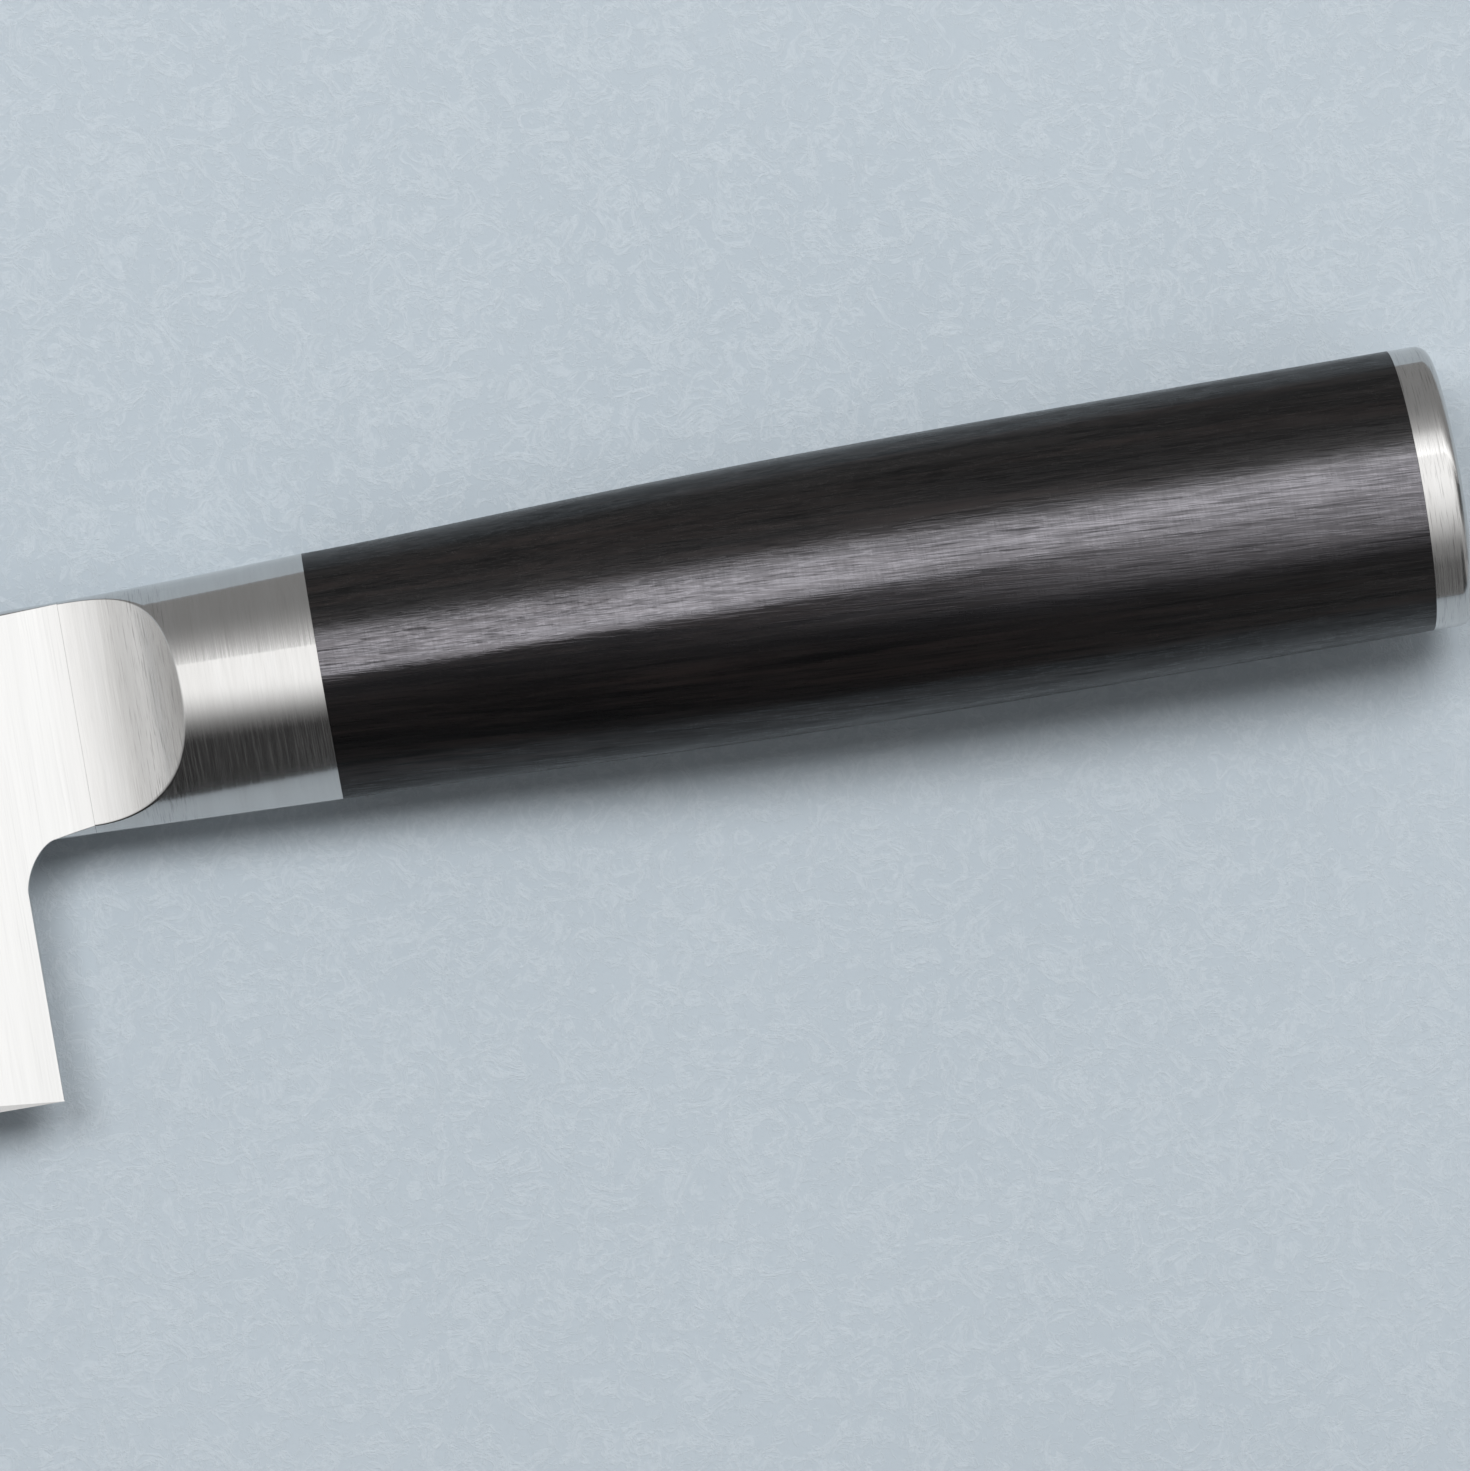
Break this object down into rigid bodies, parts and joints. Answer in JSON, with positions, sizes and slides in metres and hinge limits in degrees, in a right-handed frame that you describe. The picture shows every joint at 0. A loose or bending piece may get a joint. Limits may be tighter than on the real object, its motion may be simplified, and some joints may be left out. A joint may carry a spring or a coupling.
{
  "type": "usuba kitchen knife",
  "caption": "Single-bevel vegetable knife with a tall straight blade, a scooped steel bolster, a dark laminated-wood grip and a steel end cap.",
  "frame": {"origin": "middle of the outline seen from above, at the height of the handle's underside with the blade level", "axes": "+X along the handle towards the butt, +Y from the cutting edge towards the spine, +Z out of the flat back of the blade"},
  "size_m": [0.3042, 0.0486, 0.022],
  "materials": {
    "blade_steel": "fine brushing across the blade",
    "satin_steel": "satin, brushed across the handle",
    "plain_steel": "plain",
    "dark_wood": "near-black laminated hardwood, satin, with fine lengthwise streaks"
  },
  "bodies": {
    "root": {"blade": "blade_steel", "bolster": "satin_steel", "grip": "dark_wood", "end_cap": "satin_steel", "tang": "plain_steel", "tang_washer": "plain_steel", "tang_nut": "plain_steel", "cap_pin_spine": "plain_steel", "cap_pin_edge": "plain_steel"}
  },
  "joints": []
}
